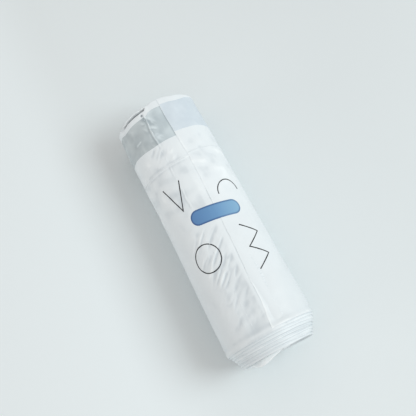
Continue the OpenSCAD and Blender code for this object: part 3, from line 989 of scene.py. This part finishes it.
ring_at = (STICKER_AT + 28, -PRINT_SIDE)
tip = (STICKER_AT - 12, -PRINT_SIDE)
zigzag_at = (STICKER_AT + 16, PRINT_SIDE - ZIG_WIDE / 2)
figures = [
    circle_line(ring_at, RING_WIDE, 0, 180),
    circle_line(ring_at, RING_WIDE, 180, 360),
    circle_line((STICKER_AT - 11, PRINT_SIDE), HALF_RING_WIDE, 90, 270),
    [(zigzag_at[0] + ZIG_LONG * n, zigzag_at[1] + ZIG_WIDE * (n % 2)) for n in range(5)],
    [(tip[0] - CHEVRON_LONG, tip[1] - CHEVRON_HALF), tip,
     (tip[0] - CHEVRON_LONG, tip[1] + CHEVRON_HALF)],
]
for number, figure in enumerate(figures):
    line, places = closed_sheet(f"printed_figure_{number}", *ink_line(figure), ink)
    lay_sheet(line, places, "printed_lines")


# The hem weld and the tear perforations
# A heated knurled bar closes the hem with a row of fine ribs right round the bag, and a toothed
# blade leaves a row of short cuts with raised lips along the line where the bags tear apart.
WELD_BEADS, TEAR_PITCH, UNDERSIDE = 260, 8.0, 160
mark_sizes = {"Length": 1.0, "Width": 1.0, "Height": 1.0, "Spread": 0.1, "Seed": 3}
marking, entry, size = node_tree("film_marks", mark_sizes)
bead = add_node(marking, "GeometryNodeMeshUVSphere", {"Segments": 8, "Rings": 5, "Radius": 0.5})
bead_size = add_node(marking, "ShaderNodeCombineXYZ", {
    "X": size["Length"], "Y": size["Width"], "Z": size["Height"]})
shaped_bead = add_node(marking, "GeometryNodeTransform", {
    "Geometry": bead.outputs["Mesh"], "Scale": bead_size.outputs[0]})
upright, lengthways = (
    add_node(marking, "GeometryNodeInputNamedAttribute", {"Name": label},
             data_type="FLOAT_VECTOR").outputs["Attribute"]
    for label in ("outward", "lengthways"))
facing = add_node(marking, "FunctionNodeAxesToRotation", {0: upright, 1: lengthways},
                  primary_axis="Z", secondary_axis="X")
vary = add_node(marking, "FunctionNodeRandomValue", {
    2: size["Spread"] * -1 + 1, 3: size["Spread"] + 1, "Seed": size["Seed"]}, data_type="FLOAT")
placed = add_node(marking, "GeometryNodeInstanceOnPoints", {
    "Points": entry.outputs["Geometry"], "Instance": shaped_bead.outputs[0],
    "Rotation": facing.outputs[0], "Scale": vary.outputs[1]})
finish_tree(marking, placed.outputs[0], bag_film)


def mark_film(name, along, turns, sizes):
    """A row of small marks on the film, their length along the roll."""
    there, _ = on_skin(along, turns, 0)
    ahead, _ = on_skin(along + 0.5, turns, 0)
    places, ahead = laid_down(there), laid_down(ahead)
    out = laid_down(there * [1, 1.02, 1.02]) - places
    base = bpy.data.meshes.new(name + "_row")
    base.from_pydata([tuple(v) for v in places], [], [])
    for label, vectors in (("outward", out), ("lengthways", ahead - places)):
        vectors /= np.linalg.norm(vectors, axis=1)[:, None]
        held = base.attributes.new(label, "FLOAT_VECTOR", "POINT")
        held.data.foreach_set("vector", vectors.astype(np.float32).ravel())
    marks = grow(name, marking, {**mark_sizes, **sizes}, bag_film, base)
    add_marks(marks, "tone_and_painted_light", np.full(len(marks.data.vertices), 0.7))
    for polygon in marks.data.polygons:
        polygon.use_smooth = True
    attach(marks, "root")
    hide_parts("film_roll")


weld_turns = np.linspace(0.003, 0.998, WELD_BEADS)
weld_turns = weld_turns[np.abs(degrees_at(weld_turns)) < UNDERSIDE]
mark_film("hem_weld", weld_at(weld_turns), weld_turns,
          {"Length": 0.0010, "Width": 0.00060, "Height": 0.00018, "Spread": 0.15, "Seed": 5})
tear_along = np.arange(5.0, ROLL_LENGTH - 6, TEAR_PITCH)
mark_film("tear_perforations", tear_along, np.full(len(tear_along), turns_at(TEAR_DEGREES)),
          {"Length": 0.0038, "Width": 0.0005, "Height": 0.00018, "Spread": 0.2, "Seed": 8})


# The floor and the light
# A pale cool table top, a large soft lamp high on the +Y side, a weaker one low on the other side
# and even light from all around.
TABLE_FAR, TABLE, TABLE_NEAR_LAMP = (
    (0.800, 0.873, 0.895), (0.742, 0.805, 0.822), (0.665, 0.717, 0.732))
TABLE_REACH = 1.6
floor_mesh = bpy.data.meshes.new("table_top")
floor_mesh.from_pydata(
    [(TABLE_REACH * x, TABLE_REACH * y, 0) for x, y in ((-1, -1), (1, -1), (1, 1), (-1, 1))],
    [], [(0, 1, 2, 3)])
table_top = bpy.data.objects.new("table_top", floor_mesh)
bpy.context.scene.collection.objects.link(table_top)
paint = Paint("table_paint", {"Roughness": 0.7, "Specular IOR Level": 0.2})
# painted light and shade: the table is painted lighter on the -Y side past the roll's shadow, and
# darker toward the lamp on the +Y side
toward_lamp = paint.node("SeparateXYZ", {0: paint.place}).outputs["Y"]
tones = paint.ramp(paint.carried(toward_lamp, 0, 1, -0.16, 0.24), {
    0.13: TABLE_FAR, 0.29: TABLE, 1: TABLE_NEAR_LAMP}, "EASE")
floor_mesh.materials.append(paint.finished({"Base Color": tones}))

# each lamp's name, watts, width, colour and place
LAMPS = (
    ("window_lamp", 4.85, 0.5, (0.91, 0.985, 1.0), (0.22, 0.58, 0.84)),
    ("low_fill", 5.2, 0.9, (1.0, 0.975, 0.96), (-0.05, -2.3, 0.62)),
)
for name, watts, wide, colour, place in LAMPS:
    lamp = bpy.data.objects.new(name, bpy.data.lights.new(name, "AREA"))
    bpy.context.scene.collection.objects.link(lamp)
    lamp.data.energy, lamp.data.size, lamp.data.color = watts, wide, colour
    lamp.location = place
    lamp.rotation_euler = Vector(place).to_track_quat("Z", "Y").to_euler()
world = bpy.data.worlds.new("soft_room")
bpy.context.scene.world = world
world.use_nodes = True
tree = world.node_tree
room = tree.nodes["Background"]
feed(tree, room, {"Color": (1, 0.945, 0.918, 1), "Strength": 0.67})

# the camera and the gloss of the film see a pale wall in the colour of the table instead
wall = add_node(tree, "ShaderNodeBackground", {"Color": (0.755, 0.803, 0.818, 1)})
rays = add_node(tree, "ShaderNodeLightPath").outputs
sight = rays["Is Camera Ray"]
for other in (rays["Is Glossy Ray"], rays["Is Transmission Ray"]):
    sight = add_node(tree, "ShaderNodeMath", {0: sight, 1: other}, operation="ADD",
                     use_clamp=True).outputs[0]
seen = add_node(tree, "ShaderNodeMixShader", {
    "Fac": sight, 1: room.outputs["Background"], 2: wall.outputs["Background"]})
feed(tree, tree.nodes["World Output"], {"Surface": seen.outputs["Shader"]})
